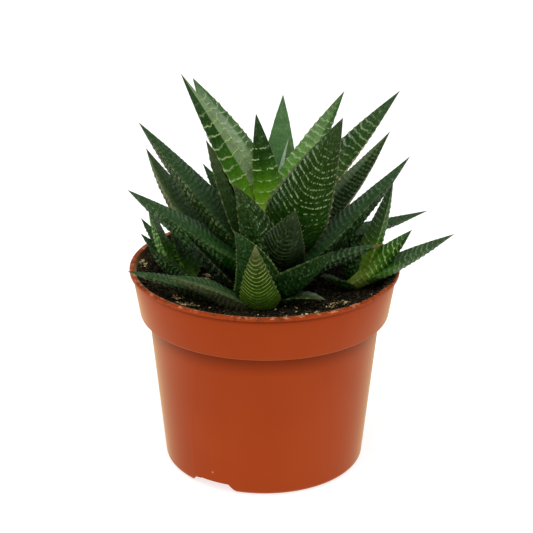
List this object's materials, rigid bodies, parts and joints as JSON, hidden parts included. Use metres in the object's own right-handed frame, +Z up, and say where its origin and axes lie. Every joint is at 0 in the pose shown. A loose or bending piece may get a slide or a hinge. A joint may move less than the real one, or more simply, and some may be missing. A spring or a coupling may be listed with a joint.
{
  "type": "potted haworthia",
  "caption": "Rosette succulent with ridged pointed leaves and two young offsets, growing in soil in a round tapered plastic nursery pot.",
  "frame": {"origin": "centre of the bounding box's base, on the plane that the pot stands on", "axes": "+Z up; -Y is the plant's front as pictured; +X is to the right of the front"},
  "size_m": [0.1422, 0.12, 0.1787],
  "materials": {
    "pot_plastic": "moulded terracotta-coloured plastic, satin",
    "soil": "dark peat potting soil with light grit, rough",
    "leaf_dark_green": "fleshy leaf skin with pale raised cross ridges, satin",
    "leaf_mid_green": "fleshy leaf skin with pale raised cross ridges, satin",
    "leaf_bright_green": "fleshy young leaf skin with pale raised cross ridges, satin"
  },
  "bodies": {
    "root": {"pot": "pot_plastic", "soil": "soil", "main_rosette": "leaf_dark_green", "left_offset_rosette": "leaf_mid_green", "right_offset_rosette": "leaf_bright_green"}
  },
  "joints": []
}
